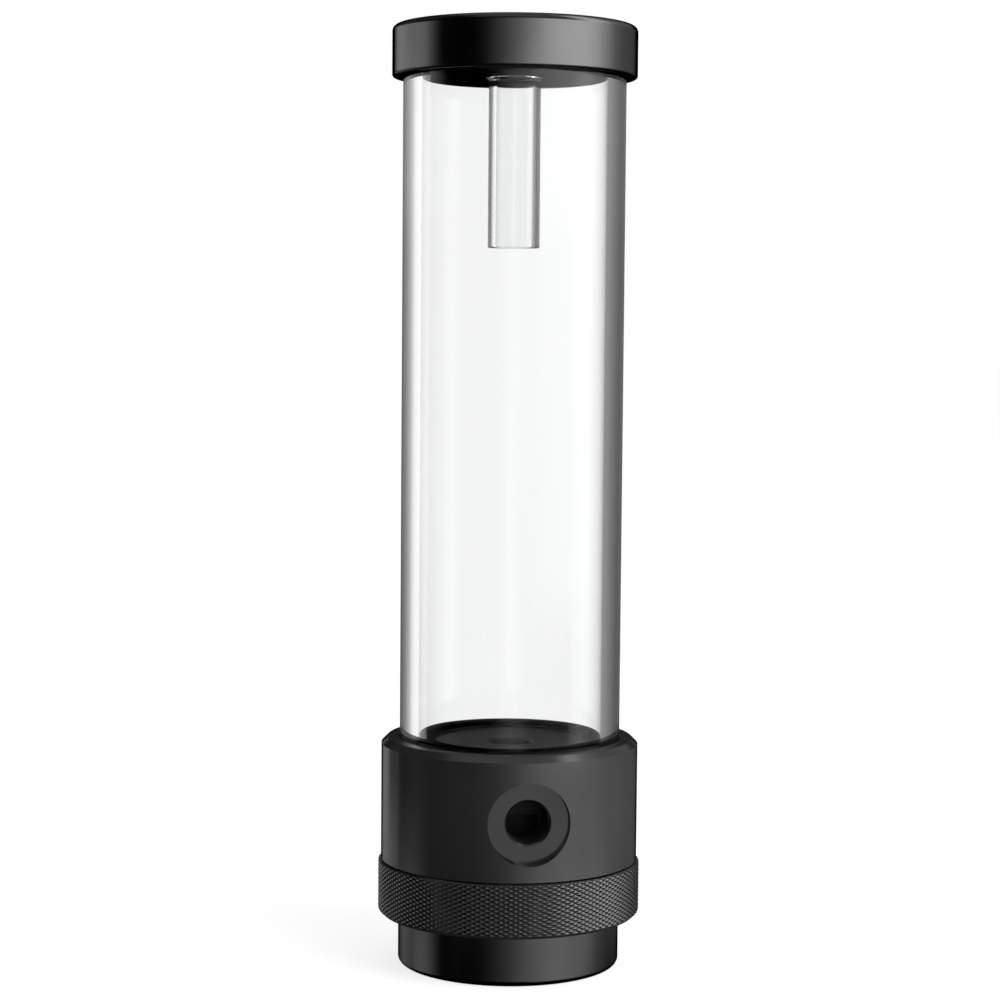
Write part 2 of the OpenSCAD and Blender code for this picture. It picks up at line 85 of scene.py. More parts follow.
class Graph:
    """Lays out one node tree with short calls."""

    def __init__(self, tree: bpy.types.NodeTree) -> None:
        """Keeps the tree that the calls work on.

        Args:
            tree: Node tree of a material, a world or a group.
        """
        self.tree = tree

    @classmethod
    def of(cls, owner: bpy.types.Material | bpy.types.World) -> Graph:
        """Empties the node tree of a material or a world, to lay it out anew.

        Args:
            owner: The material or the world.

        Returns:
            The tree's graph.
        """
        owner.use_nodes = True
        owner.node_tree.nodes.clear()
        return cls(owner.node_tree)

    def fill(self, node: bpy.types.Node, inputs: dict) -> None:
        """Sets inputs of a node.

        Args:
            node: The node.
            inputs: Socket names or numbers, each with a value or a socket to link.
        """
        for key, value in inputs.items():
            if isinstance(value, bpy.types.NodeSocket):
                self.tree.links.new(value, node.inputs[key])
            else:
                node.inputs[key].default_value = value

    def add(self, kind: str, inputs: dict | None = None, **settings: object) -> bpy.types.Node:
        """Adds a node.

        Args:
            kind: Type of the node without its ShaderNode start.
            inputs: Socket names or numbers, each with a value or a socket to link.
            settings: Properties of the node.

        Returns:
            The node.
        """
        node = self.tree.nodes.new("ShaderNode" + kind)
        for name, value in settings.items():
            setattr(node, name, value)
        self.fill(node, inputs or {})
        return node

    def math(self, kind: str, first: Socket | float, second: Socket | float = 0.0) -> Socket:
        """Gives the result of an operation, such as ADD, on one or two values."""
        return self.add("Math", {0: first, 1: second}, operation=kind).outputs[0]

    def product(self, *factors: Socket | float) -> Socket:
        """Gives the product of values."""
        return reduce(lambda first, second: self.math("MULTIPLY", first, second), factors)

    def mix(self, factor: Socket | float, first: object, second: object) -> Socket:
        """Mixes two colours or sockets of colours, by the share of the second."""
        ends = [(*c, 1.0) if isinstance(c, tuple) else c for c in (first, second)]
        return self.add("Mix", {0: factor, 6: ends[0], 7: ends[1]}, data_type="RGBA").outputs[2]

    def blend(self, factor: Socket, first: Socket, second: Socket | float) -> Socket:
        """Mixes two values, by the share of the second."""
        return self.add("Mix", {0: factor, 2: first, 3: second}, data_type="FLOAT").outputs[0]

    def noise(self, place: Socket, scale: Socket | float, detail: float = 3.0) -> Socket:
        """Gives noise about 0.5: its features to a metre, and octaves of finer detail."""
        return self.add("TexNoise", {"Vector": place, "Scale": scale, "Detail": detail}).outputs[0]

    def squeezed(self, place: Socket, height: float) -> Socket:
        """Scales the height in coordinates, so that a pattern is drawn out along the axis."""
        return self.add("Mapping", {"Vector": place, "Scale": (1.0, 1.0, height)}).outputs[0]

    def span(
        self, value: Socket, start: float, end: float, low: float = 0.0, high: float = 1.0
    ) -> Socket:
        """Maps a value smoothly, so that it gives low at start and high at end."""
        ends = {"Value": value, "From Min": start, "From Max": end, "To Min": low, "To Max": high}
        return self.add("MapRange", ends, interpolation_type="SMOOTHSTEP").outputs[0]

    def gain(self, share: Socket, level: float) -> Socket:
        """Gives a factor that is 1 where a share is 0, and the level where it is 1."""
        return self.span(share, 0.0, 1.0, 1.0, level)

    def wave(self, value: Socket, pitch: float) -> Socket:
        """Turns a length into ridges from -1 to 1, the pitch apart in millimetres."""
        return self.math("SINE", self.product(value, FULL_TURN / (pitch * MM)))

    def ramp(self, value: Socket, stops: list[tuple[float, float]]) -> Socket:
        """Maps a value from 0 to 1 through grey stops.

        Args:
            value: Value to map.
            stops: Places from 0 to 1, each with its grey.

        Returns:
            The ramp's colour socket.
        """
        node = self.add("ValToRGB", {0: value})
        band = node.color_ramp.elements
        while len(band) < len(stops):
            band.new(0.5)
        for element, (place, _) in zip(band, stops):
            element.position = place
        for element, (_, grey) in zip(band, stops):
            element.color = (grey, grey, grey, 1.0)
        return node.outputs[0]


class SharedEffects:
    """Node groups that several finishes use, each built once.

    CLOUDS and SMEARS are features to a metre and octaves, UNEVEN is features to a tool's turn.
    """

    CLOUDS = (60.0, 4.0)
    SMEARS = (130.0, 6.0)
    SMEARED = (0.52, 0.68)
    STRETCH = 0.35
    GRAIN_DETAIL = 2.0
    UNEVEN = 0.7

    def __init__(self) -> None:
        """Builds the groups."""
        self.place = self._place()
        self.clouds = self._clouds()
        self.marks = self._marks()

    @staticmethod
    def _group(name: str, outputs: list[str], value: str | None = None) -> tuple:
        """Starts a node group that takes a place.

        Args:
            name: Name of the group.
            outputs: Names of its outputs, which are values.
            value: Name of a second input, which is a value.

        Returns:
            The group, its graph, its inputs' sockets and its output node.
        """
        group = bpy.data.node_groups.new(name, "ShaderNodeTree")
        sockets = [("Vector", "INPUT", "Vector")] + [(value, "INPUT", "Float")] * bool(value)
        for label, side, kind in sockets + [(label, "OUTPUT", "Float") for label in outputs]:
            group.interface.new_socket(label, in_out=side, socket_type="NodeSocket" + kind)
        entry, leave = group.nodes.new("NodeGroupInput"), group.nodes.new("NodeGroupOutput")
        return group, Graph(group), entry.outputs, leave

    def _place(self) -> bpy.types.NodeTree:
        """Builds the group that gives a point's radius, height and angle round the axis.

        Returns:
            The group.
        """
        names = ["Radius", "Height", "Angle"]
        group, graph, entry, leave = self._group("round_place", names)
        across, along, height = graph.add("SeparateXYZ", {0: entry[0]}).outputs
        squares = [graph.math("POWER", part, 2.0) for part in (across, along)]
        radius = graph.math("SQRT", graph.math("ADD", *squares))
        graph.fill(leave, {0: radius, 1: height, 2: graph.math("ARCTAN2", along, across)})
        return group

    def _clouds(self) -> bpy.types.NodeTree:
        """Builds the group that gives broad clouds, smears of handling and fine grain.

        Returns:
            The group.
        """
        names = ["Cloud", "Smear", "Grain"]
        group, graph, entry, leave = self._group("clouds_and_grain", names, "Grain Scale")
        place, scale = entry[0], entry[1]
        cloud = graph.noise(place, *self.CLOUDS)
        smear = graph.noise(graph.squeezed(place, self.STRETCH), *self.SMEARS)
        grain = graph.noise(place, scale, self.GRAIN_DETAIL)
        graph.fill(leave, {0: cloud, 1: graph.span(smear, *self.SMEARED), 2: grain})
        return group

    def _marks(self) -> bpy.types.NodeTree:
        """Builds the group that gives a turning tool's fine lines on sides and faces alike.

        Returns:
            The group.
        """
        group, graph, entry, leave = self._group("turning_marks", ["Lines"], "Pitch")
        where = graph.add("Group", {0: entry[0]}, node_tree=self.place).outputs
        run = graph.math("ADD", where["Radius"], where["Height"])
        turns = graph.math("DIVIDE", run, graph.product(entry[1], MM))
        line = graph.math("SINE", graph.product(turns, FULL_TURN))
        uneven = graph.add("TexNoise", {"W": turns, "Scale": self.UNEVEN}, noise_dimensions="1D")
        graph.fill(leave, {0: graph.product(line, uneven.outputs[0])})
        return group


class Canvas(Graph):
    """The node tree of one material: its Principled shader and the object's coordinates."""

    def __init__(self, name: str, effects: SharedEffects) -> None:
        """Makes the material.

        Args:
            name: Name of the material.
            effects: The shared node groups.
        """
        self.material = bpy.data.materials.new(name)
        super().__init__(Graph.of(self.material).tree)
        self.effects = effects
        self.shader = self.add("BsdfPrincipled")
        self.add("OutputMaterial", {"Surface": self.shader.outputs[0]})
        self.place = self.add("TexCoord").outputs["Object"]

    def where(self) -> bpy.types.bpy_prop_collection:
        """Gives the point's Radius, Height and Angle round the axis."""
        return self.add("Group", {0: self.place}, node_tree=self.effects.place).outputs

    def clouds(self, scale: float) -> bpy.types.bpy_prop_collection:
        """Gives the Cloud, the Smear and the Grain, the last with scale features to a metre."""
        inputs = {0: self.place, 1: scale}
        return self.add("Group", inputs, node_tree=self.effects.clouds).outputs

    def marks(self, pitch: float) -> Socket:
        """Gives a turning tool's lines, the pitch apart in millimetres."""
        inputs = {0: self.place, 1: pitch}
        return self.add("Group", inputs, node_tree=self.effects.marks).outputs[0]

    def coat(self, colour: Socket, rough: Socket | float, **settings: object) -> None:
        """Sets the shader's colour, roughness and further inputs, named with _ for a space."""
        inputs = {key.replace("_", " "): value for key, value in settings.items()}
        self.fill(self.shader, {"Base Color": colour, "Roughness": rough, **inputs})

    def relief(self, height: Socket, depth: float) -> None:
        """Gives the shader a bump, whose height of 1 stands for the depth in millimetres."""
        bump = self.add("Bump", {"Height": height, "Strength": 1.0, "Distance": depth * MM})
        self.fill(self.shader, {"Normal": bump.outputs[0]})


class Finish:
    """What every finish shares.

    Attributes:
        name: Name of its material.
    """

    name: str
    EVEN = (0.2, 0.8)

    def paint(self, canvas: Canvas) -> None:
        """Lays out the material.

        Args:
            canvas: The material's canvas.
        """
        raise NotImplementedError


@dataclass(frozen=True)
class SurfaceFinish(Finish):
    """An opaque surface with clouds, smears of handling, grain and marks.

    Attributes:
        tone: Colour of the surface.
        rubbed_and_highlight: Colour where the surface is worn or smeared; on worn peaks it is
            partly a painted highlight.
        roughness: Mean roughness.
        metallic: Metalness.
        grain: Features of the grain to a metre.
        depth: Depth of the grain in millimetres.
        mark_pitch: Distance between a turning tool's marks in millimetres, if there are any.
        mark_depth: Depth of the marks in millimetres.
        peak_wear_and_highlight: Radii in millimetres between which the second colour comes
            through, on worn peaks that are partly a painted highlight.
        specular: Specular level of the shader.
        coat: Weight of a clear coat.
        smears: Strength of the smears of handling.
        painted_shade_zone: Radius, lowest and highest height in millimetres of an inner region
            whose colour is darkened as painted shade and whose roughness is raised.
        soft_edge: Facing values between which the gloss dies away at a grazing view.
    """

    name: str
    tone: Colour
    rubbed_and_highlight: Colour
    roughness: float
    metallic: float = 0.0
    grain: float = 3500.0
    depth: float = 0.004
    mark_pitch: float | None = None
    mark_depth: float = 0.0015
    peak_wear_and_highlight: tuple[float, float] | None = None
    specular: float = 0.5
    coat: float = 0.0
    smears: float = 0.25
    painted_shade_zone: tuple[float, float, float] | None = None
    soft_edge: tuple[float, float] | None = None

    CLOUDED = (0.3, 0.8)
    CLOUD_SHARE = 0.2
    RAGGED = 0.2
    SMOOTHER = 0.93
    ROUGHER = 1.08
    GREASE = 0.12
    PAINTED_SHADE_EDGE = 0.2
    DULL_ROUGHNESS = 0.85
    PAINTED_SHADE_TONE = 0.15

    def paint(self, canvas: Canvas) -> None:
        """See Finish.paint."""
        clouds, where = canvas.clouds(self.grain), canvas.where()
        share = canvas.product(clouds["Smear"], self.smears)
        clouded = canvas.span(clouds["Cloud"], *self.CLOUDED, 0.0, self.CLOUD_SHARE)
        share = canvas.math("ADD", share, clouded)
        # Painted highlight and worn peaks: the second colour shows on the outermost radii.
        if self.peak_wear_and_highlight:
            ragged = canvas.math("SUBTRACT", clouds["Grain"], 0.5)
            ragged = canvas.product(ragged, self.RAGGED * MM)
            reach = canvas.math("ADD", where["Radius"], ragged)
            start, full = (radius * MM for radius in self.peak_wear_and_highlight)
            share = canvas.math("MAXIMUM", share, canvas.span(reach, start, full))
        colour = canvas.mix(share, self.tone, self.rubbed_and_highlight)
        least, most = self.roughness * self.SMOOTHER, min(1.0, self.roughness * self.ROUGHER)
        rough = canvas.span(clouds["Cloud"], 0.25, 0.75, least, most)
        grease = canvas.product(clouds["Smear"], self.GREASE * self.smears)
        rough = canvas.math("ADD", rough, grease)
        # Painted shade: inside the zone the colour falls to a small share of the tone, standing in
        # for shade in hollows and under things; the roughness is raised there too.
        if self.painted_shade_zone:
            radius, lowest, highest = (size * MM for size in self.painted_shade_zone)
            edge = self.PAINTED_SHADE_EDGE * MM
            painted_shade_mask = canvas.product(
                canvas.span(where["Radius"], radius, radius - edge),
                canvas.span(where["Height"], lowest - edge, lowest),
                canvas.span(where["Height"], highest + edge, highest),
            )
            colour = canvas.mix(painted_shade_mask, colour, tuple(self.PAINTED_SHADE_TONE * c for c in self.tone))
            rough = canvas.math("MAXIMUM", rough, canvas.product(painted_shade_mask, self.DULL_ROUGHNESS))
        height = clouds["Grain"]
        if self.mark_pitch:
            lines = canvas.marks(self.mark_pitch)
            lines = canvas.product(lines, self.mark_depth / self.depth)
            height = canvas.math("ADD", height, lines)
        canvas.relief(height, self.depth)
        gloss = self.specular
        if self.soft_edge:
            facing = canvas.add("LayerWeight", {"Blend": 0.5}).outputs["Facing"]
            gloss = canvas.span(facing, *self.soft_edge, self.specular, 0.0)
        canvas.coat(
            colour, rough, Metallic=self.metallic, Specular_IOR_Level=gloss, Coat_Weight=self.coat
        )


@dataclass(frozen=True)
class ClearAcrylic(Finish):
    """Clear cast acrylic with polished faces and the faint draw lines of a tube.

    Attributes:
        tint: Colour of light that has passed through a wall.
        streak: Factor for the tint in a draw line.
        index: Refractive index.
        sheen: Share of the surface's reflection that is kept, as on a bloomed lens.
        lines: Features to a metre and octaves of the draw lines.
    """

    name: str = "clear_acrylic"
    tint: Colour = (0.962, 0.966, 0.965)
    streak: float = 0.99
    index: float = 1.49
    sheen: float = 0.25
    lines: tuple[float, float] = (700.0, 2.0)

    def paint(self, canvas: Canvas) -> None:
        """See Finish.paint."""
        lines = canvas.noise(canvas.squeezed(canvas.place, 0.03), *self.lines)
        darker = tuple(self.streak * c for c in self.tint)
        colour = canvas.mix(canvas.span(lines, 0.3, 0.7), darker, self.tint)
        canvas.relief(lines, 0.0008)
        sheen = (self.sheen, self.sheen, self.sheen, 1.0)
        canvas.coat(colour, 0.0, IOR=self.index, Specular_Tint=sheen, Transmission_Weight=1.0)


@dataclass(frozen=True)
class Laminations(Finish):
    """Stacked sheets of steel: fine dark joints, one above the other.

    Attributes:
        sheet: Thickness of a sheet in millimetres.
        steel: The two colours of the sheets.
        joint: Colour of the joints.
    """

    name: str = "stacked_steel"
    sheet: float = 0.5
    steel: tuple[Colour, Colour] = ((0.30, 0.31, 0.33), (0.42, 0.43, 0.45))
    joint: Colour = (0.05, 0.05, 0.055)

    def paint(self, canvas: Canvas) -> None:
        """See Finish.paint."""
        joint = canvas.span(canvas.wave(canvas.where()["Height"], self.sheet), 0.55, 0.95)
        clouds = canvas.clouds(2500.0)
        steel = canvas.mix(clouds["Cloud"], *self.steel)
        colour = canvas.mix(canvas.product(joint, 0.8), steel, self.joint)
        rough = canvas.span(clouds["Grain"], *self.EVEN, 0.3, 0.48)
        canvas.relief(canvas.math("SUBTRACT", 1.0, joint), 0.04)
        canvas.coat(colour, rough, Metallic=0.9)


@dataclass(frozen=True)
class CopperWinding(Finish):
    """Enamelled wire wound round poles that stand in a ring.

    Attributes:
        poles: Number of poles.
        wire: Thickness of the wire in millimetres.
        copper: The two colours of the wire.
        shade_between_turns: Colour between two turns, a painted shade in the crease.
    """

    name: str = "enamelled_wire"
    poles: int = 6
    wire: float = 0.45
    copper: tuple[Colour, Colour] = ((0.42, 0.13, 0.04), (0.62, 0.22, 0.08))
    shade_between_turns: Colour = (0.06, 0.016, 0.006)

    def paint(self, canvas: Canvas) -> None:
        """See Finish.paint."""
        where = canvas.where()
        pole = FULL_TURN / self.poles
        nearest = canvas.math("ROUND", canvas.math("DIVIDE", where["Angle"], pole))
        angle = canvas.math("SUBTRACT", where["Angle"], canvas.product(nearest, pole))
        along = canvas.product(where["Radius"], canvas.math("COSINE", angle))
        ridge = canvas.math("ABSOLUTE", canvas.wave(along, 2 * self.wire))
        wire = canvas.mix(canvas.clouds(1800.0)["Cloud"], *self.copper)
        # Painted shade: the wire darkens to the crease's colour between two turns.
        colour = canvas.mix(canvas.span(ridge, 0.0, 0.45), self.shade_between_turns, wire)
        canvas.relief(ridge, 0.12)
        canvas.coat(
            colour, canvas.span(ridge, 0.0, 1.0, 0.55, 0.28), Metallic=0.75, Coat_Weight=0.6,
            Coat_Roughness=0.2,
        )


@dataclass(frozen=True)
class CircuitBoard(Finish):
    """Green solder mask over copper tracks.

    Attributes:
        cell: Distance between tracks in millimetres.
        mask: The two colours of the solder mask.
        track: Colour of the mask over a track.
        pad: Colour of a bare pad.
    """

    name: str = "circuit_board"
    cell: float = 1.6
    mask: tuple[Colour, Colour] = ((0.004, 0.05, 0.018), (0.007, 0.085, 0.03))
    track: Colour = (0.012, 0.14, 0.05)
    pad: Colour = (0.55, 0.52, 0.42)

    def paint(self, canvas: Canvas) -> None:
        """See Finish.paint."""
        flat = canvas.squeezed(canvas.place, 0.0)
        inputs = {"Vector": flat, "Scale": 1.0 / (self.cell * MM), "Randomness": 0.35}
        pattern = {"feature": "F1", "distance": "MANHATTAN", "voronoi_dimensions": "2D"}
        away = canvas.add("TexVoronoi", inputs, **pattern).outputs["Distance"]
        track, pad = canvas.span(away, 0.42, 0.5), canvas.span(away, 0.12, 0.07)
        grain = canvas.noise(canvas.place, 2500.0)
        mask = canvas.mix(track, canvas.mix(grain, *self.mask), self.track)
        canvas.relief(canvas.math("ADD", track, pad), 0.03)
        rough = canvas.span(grain, *self.EVEN, 0.3, 0.42)
        canvas.coat(canvas.mix(pad, mask, self.pad), rough, Metallic=pad)


@dataclass(frozen=True)
class BoardParts(Finish):
    """Black packages with bright tops on the tall ones, which are capacitors.

    Attributes:
        top: Height in millimetres above which a part is bright.
        black: The two colours of the packages.
        bright: The two colours of the tops.
    """

    name: str = "board_parts_finish"
    top: float = 6.75
    black: tuple[Colour, Colour] = ((0.010, 0.010, 0.011), (0.024, 0.024, 0.026))
    bright: tuple[Colour, Colour] = ((0.52, 0.53, 0.55), (0.68, 0.69, 0.70))

    def paint(self, canvas: Canvas) -> None:
        """See Finish.paint."""
        tall = canvas.span(canvas.where()["Height"], self.top * MM, (self.top + 0.1) * MM)
        clouds = canvas.clouds(3000.0)
        black = canvas.mix(clouds["Grain"], *self.black)
        bright = canvas.mix(clouds["Cloud"], *self.bright)
        rough = canvas.span(clouds["Cloud"], *self.EVEN, 0.32, 0.5)
        canvas.relief(clouds["Grain"], 0.006)
        canvas.coat(canvas.mix(tall, black, bright), rough, Metallic=tall)


class Finishes:
    """Every finish of the object, each made a material once."""

    ANODISED = SurfaceFinish(
        "satin_anodised_black", (0.0008, 0.0008, 0.0009), (0.002, 0.002, 0.0021), 0.2,
        mark_pitch=0.3, mark_depth=0.0008, depth=0.0012,
        # Painted shade on the cap's underside inside the tube.
        painted_shade_zone=(30.2, 239.0, 241.5), soft_edge=(0.54, 0.8),
    )
    FOOT = SurfaceFinish(
        "moulded_black", (0.0006, 0.0006, 0.0007), (0.0015, 0.0015, 0.0016), 0.14,
        depth=0.0012, soft_edge=(0.6, 0.86),
    )
    ACETAL = SurfaceFinish(
        "satin_acetal_black", (0.0125, 0.0125, 0.0128), (0.016, 0.016, 0.0163), 0.15,
        mark_pitch=0.4, mark_depth=0.001, depth=0.003, smears=0.0,
        # Painted shade inside the base: the port's bore, the passages and the floor round the
        # plate.
        painted_shade_zone=(30.3, 20.0, 65.0), soft_edge=(0.6, 0.86),
    )
    KNURLED = SurfaceFinish(
        "knurled_black", (0.001, 0.001, 0.0011), (0.06, 0.06, 0.062), 0.25,
        # Knurl peaks lighter, partly as worn peaks and partly as a painted highlight; a painted
        # shadow on the ring below the knurl, on its lower chamfer and underside.
        depth=0.003, peak_wear_and_highlight=(35.58, 35.74), painted_shade_zone=(37.0, 10.0, 14.85),
    )
    # A black sheet without gloss, laid where the tube's ends lie in shade: painted shade.
    SHADE_SHEET_BLACK = SurfaceFinish(
        "painted_shade_sheet", (0.0008, 0.0008, 0.0008), (0.002, 0.002, 0.002), 0.9,
        grain=2200.0, depth=0.01, specular=0.0,
    )
    PLATE = SurfaceFinish(
        "matt_black_plate", (0.022, 0.022, 0.0225), (0.032, 0.032, 0.0325), 0.5,
        mark_pitch=0.5, mark_depth=0.002,
    )
    RUBBER = SurfaceFinish(
        "black_rubber", (0.012, 0.012, 0.012), (0.028, 0.027, 0.026), 0.58,
        grain=2600.0, depth=0.012, specular=0.4,
    )
    FIBRE = SurfaceFinish(
        "gasket_fibre", (0.045, 0.045, 0.048), (0.085, 0.083, 0.08), 0.72,
        grain=1800.0, depth=0.02,
    )
    NYLON = SurfaceFinish(
        "natural_nylon", (0.60, 0.59, 0.55), (0.70, 0.69, 0.65), 0.42,
        mark_pitch=0.25,
    )
    STEEL = SurfaceFinish(
        "drawn_steel", (0.48, 0.49, 0.50), (0.60, 0.60, 0.61), 0.26, metallic=1.0,
        mark_pitch=0.22, mark_depth=0.002,
    )
    MAGNET = SurfaceFinish(
        "moulded_magnet", (0.028, 0.028, 0.03), (0.055, 0.054, 0.056), 0.46, metallic=0.3,
        grain=2400.0, depth=0.008,
    )
    CARBON = SurfaceFinish(
        "bearing_carbon", (0.018, 0.018, 0.02), (0.06, 0.06, 0.062), 0.35, metallic=0.2,
        mark_pitch=0.2,
    )
    ROTOR = SurfaceFinish(
        "glass_filled_plastic", (0.52, 0.50, 0.45), (0.62, 0.60, 0.55), 0.45,
        grain=1600.0, depth=0.008,
    )
    CERAMIC = SurfaceFinish(
        "polished_ceramic", (0.74, 0.73, 0.69), (0.82, 0.81, 0.78), 0.12, depth=0.001, coat=0.4,
    )

    def __init__(self) -> None:
        """Builds the shared groups and starts with no material."""
        self.effects = SharedEffects()
        self.made: dict[str, bpy.types.Material] = {}

    def material(self, finish: Finish) -> bpy.types.Material:
        """Gives a finish's material, painted at its first use.

        Args:
            finish: The finish.

        Returns:
            Its material.
        """
        if finish.name not in self.made:
            canvas = Canvas(finish.name, self.effects)
            finish.paint(canvas)
            self.made[finish.name] = canvas.material
        return self.made[finish.name]


@dataclass(frozen=True)
class Corner:
    """A corner of a turned profile.

    Attributes:
        radius: Distance from the axis in millimetres.
        height: Height in millimetres.
        easing: How far the corner is rounded off, in millimetres.
    """

    radius: float
    height: float
    easing: float = 0.0


def closed(shape: bmesh.types.BMesh) -> bmesh.types.BMesh:
    """Welds a wound or turned shape and points its faces outwards.

    Args:
        shape: The shape.

    Returns:
        The same shape.
    """
    bmesh.ops.remove_doubles(shape, verts=shape.verts[:], dist=WELD)
    bmesh.ops.recalc_face_normals(shape, faces=shape.faces[:])
    return shape


def turned(corners: list[Corner], steps: int = 256) -> bmesh.types.BMesh:
    """Turns a closed profile round the upright axis.

    Args:
        corners: The profile's corners in order.
        steps: Steps round the axis.

    Returns:
        The turned shape.
    """
    shape = bmesh.new()
    points = [shape.verts.new((c.radius * MM, 0.0, c.height * MM)) for c in corners]
    for first, second in zip(points, points[1:] + points[:1]):
        shape.edges.new((first, second))
    for point, corner in zip(points, corners):
        if corner.easing > 0.0:
            bmesh.ops.bevel(
                shape, geom=[point], offset=corner.easing * MM, offset_type="OFFSET",
                affect="VERTICES", segments=3, profile=0.5, material=-1,
            )
    bmesh.ops.spin(
        shape, geom=shape.verts[:] + shape.edges[:], cent=CENTRE, axis=UPRIGHT,
        angle=FULL_TURN, steps=steps, use_merge=True,
    )
    return closed(shape)


@dataclass(frozen=True)
class Thread:
    """A screw thread, made as the ridge that stands on a round wall.

    Attributes:
        wall: Radius of the wall in millimetres.
        depth: How far the ridge stands out from it.
        pitch: Height of one turn.
        hand: Side of the wall.
    """

    wall: float
    depth: float
    pitch: float
    hand: Hand

    SUNK, ROOT, CREST = 0.05, 0.42, 0.12
    STEPS_TO_A_TURN = 72

    def wound(self, low: float, length: float, phase: float = 0.0) -> bmesh.types.BMesh:
        """Winds the ridge round the upright axis.

        Args:
            low: Height at which it starts, in millimetres.
            length: Height over which it climbs.
            phase: Turns by which its start is turned.

        Returns:
            The ridge as a closed shape.
        """
        shape = bmesh.new()
        sunk = self.wall - self.SUNK * self.hand.value
        crest = self.wall + self.depth * self.hand.value
        outline = [
            (sunk, -self.ROOT * self.pitch), (crest, -self.CREST * self.pitch),
            (crest, self.CREST * self.pitch), (sunk, self.ROOT * self.pitch),
        ]
        points = [shape.verts.new((r * MM, 0.0, (low + z) * MM)) for r, z in outline]
        start = shape.faces.new(points)
        turns = length / self.pitch
        steps = round(turns * self.STEPS_TO_A_TURN)
        bmesh.ops.spin(
            shape, geom=[start], cent=CENTRE, axis=UPRIGHT, angle=FULL_TURN * turns,
            dvec=(0, 0, length * MM / steps), steps=steps, use_duplicate=False,
        )
        phased = Matrix.Rotation(FULL_TURN * phase, 3, "Z")
        bmesh.ops.rotate(shape, verts=shape.verts[:], cent=CENTRE, matrix=phased)
        return closed(shape)


RING_PITCH = 1.5
RING_THREAD_DEPTH = 0.42
RING_THREAD_ENDS = (0.6, 0.5)
PORT_THREAD = Thread(5.7225, 0.16, 1.337, Hand.INSIDE)
TUBE_BORE = 25.0
# Sizes of the black sheets laid as painted shade at the tube's ends.
SHADE_SHEET_GAP = 0.12
SHADE_SHEET = 0.2
SHADE_SHEET_EASING = 0.05


def ring_thread_heights() -> tuple[float, float]:
    """Gives the lowest and highest height of the ring's thread and its mate, in millimetres."""
    low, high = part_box("base_manifold")[0].z / MM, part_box("lock_ring")[1].z / MM
    return low + RING_THREAD_ENDS[0], high - RING_THREAD_ENDS[1]


def scene_object(name: str, data: bpy.types.ID) -> bpy.types.Object:
    """Puts data into the scene.

    Args:
        name: Name of the object.
        data: Its mesh, lamp or camera.

    Returns:
        The object.
    """
    made = bpy.data.objects.new(name, data)
    bpy.context.scene.collection.objects.link(made)
    return made


@dataclass
class Assembly:
    """A sub-assembly: it dresses its CAD nodes and places its fine pieces.

    Attributes:
        nodes: The CAD nodes' objects by name.
        finishes: The finishes.
    """

    nodes: dict[str, bpy.types.Object]
    finishes: Finishes

    def dress(self, finish: Finish, *names: str) -> None:
        """Gives CAD nodes their material.

        Args:
            finish: Their finish.
            names: Names of the nodes.
        """
        for name in names:
            self.nodes[name].data.materials.clear()
            self.nodes[name].data.materials.append(self.finishes.material(finish))
            log.info("dressed %s in %s", name, finish.name)

    def place(
        self, name: str, shape: bmesh.types.BMesh, finish: Finish, body: Body, slot: str,
        stands_for: str | None = None, crease: float = 30.0,
    ) -> None:
        """Makes a finished shape a piece of the object.

        Args:
            name: Name of the piece.
            shape: Its shape, in the object's frame.
            finish: Its finish.
            body: The body that it rides on.
            slot: The record's material slot; not used.
            stands_for: The CAD node that it replaces.
            crease: Angle in degrees above which an edge stays sharp.
        """
        mesh = bpy.data.meshes.new(name)
        shape.to_mesh(mesh)
        shape.free()
        mesh.polygons.foreach_set("use_smooth", [True] * len(mesh.polygons))
        mesh.set_sharp_from_angle(angle=math.radians(crease))
        mesh.materials.append(self.finishes.material(finish))
        piece = scene_object(name, mesh)
        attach(piece, body.value)
        if stands_for:
            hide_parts(stands_for)
        log.info("placed %s with %d faces on %s", name, len(mesh.polygons), body.value)

    def bore(self, node: str) -> float:
        """Gives the inner radius of a CAD node in millimetres."""
        return min(math.hypot(v.co.x, v.co.y) for v in self.nodes[node].data.vertices) / MM


@dataclass
class ClearTubes(Assembly):
    """The reservoir's tube and the drop tube, turned fine enough for glass.

    Attributes:
        edge: Polished easing of the tubes' ends, in millimetres.
        steps: Steps round them.
        crease: Angle in degrees above which an edge stays sharp.
    """

    edge: float = 0.35
    steps: int = 320
    crease: float = 5.0

    def build(self) -> None:
        """Places both tubes."""
        for node, name in (("reservoir_tube", "clear_tube"), ("drop_tube", "clear_drop_tube")):
            self.place(
                name, self.sleeve(node), ClearAcrylic(), Body.RESERVOIR, "clear", node, self.crease
            )

    def sleeve(self, node: str) -> bmesh.types.BMesh:
        """Turns a tube to the size of its CAD node.

        Args:
            node: Name of the node.

        Returns:
            The tube.
        """
        low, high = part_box(node)
        inner, outer, bottom, top = self.bore(node), high.x / MM, low.z / MM, high.z / MM
        rim = ((inner, bottom), (outer, bottom), (outer, top), (inner, top))
        return turned([Corner(*place, self.edge) for place in rim], self.steps)


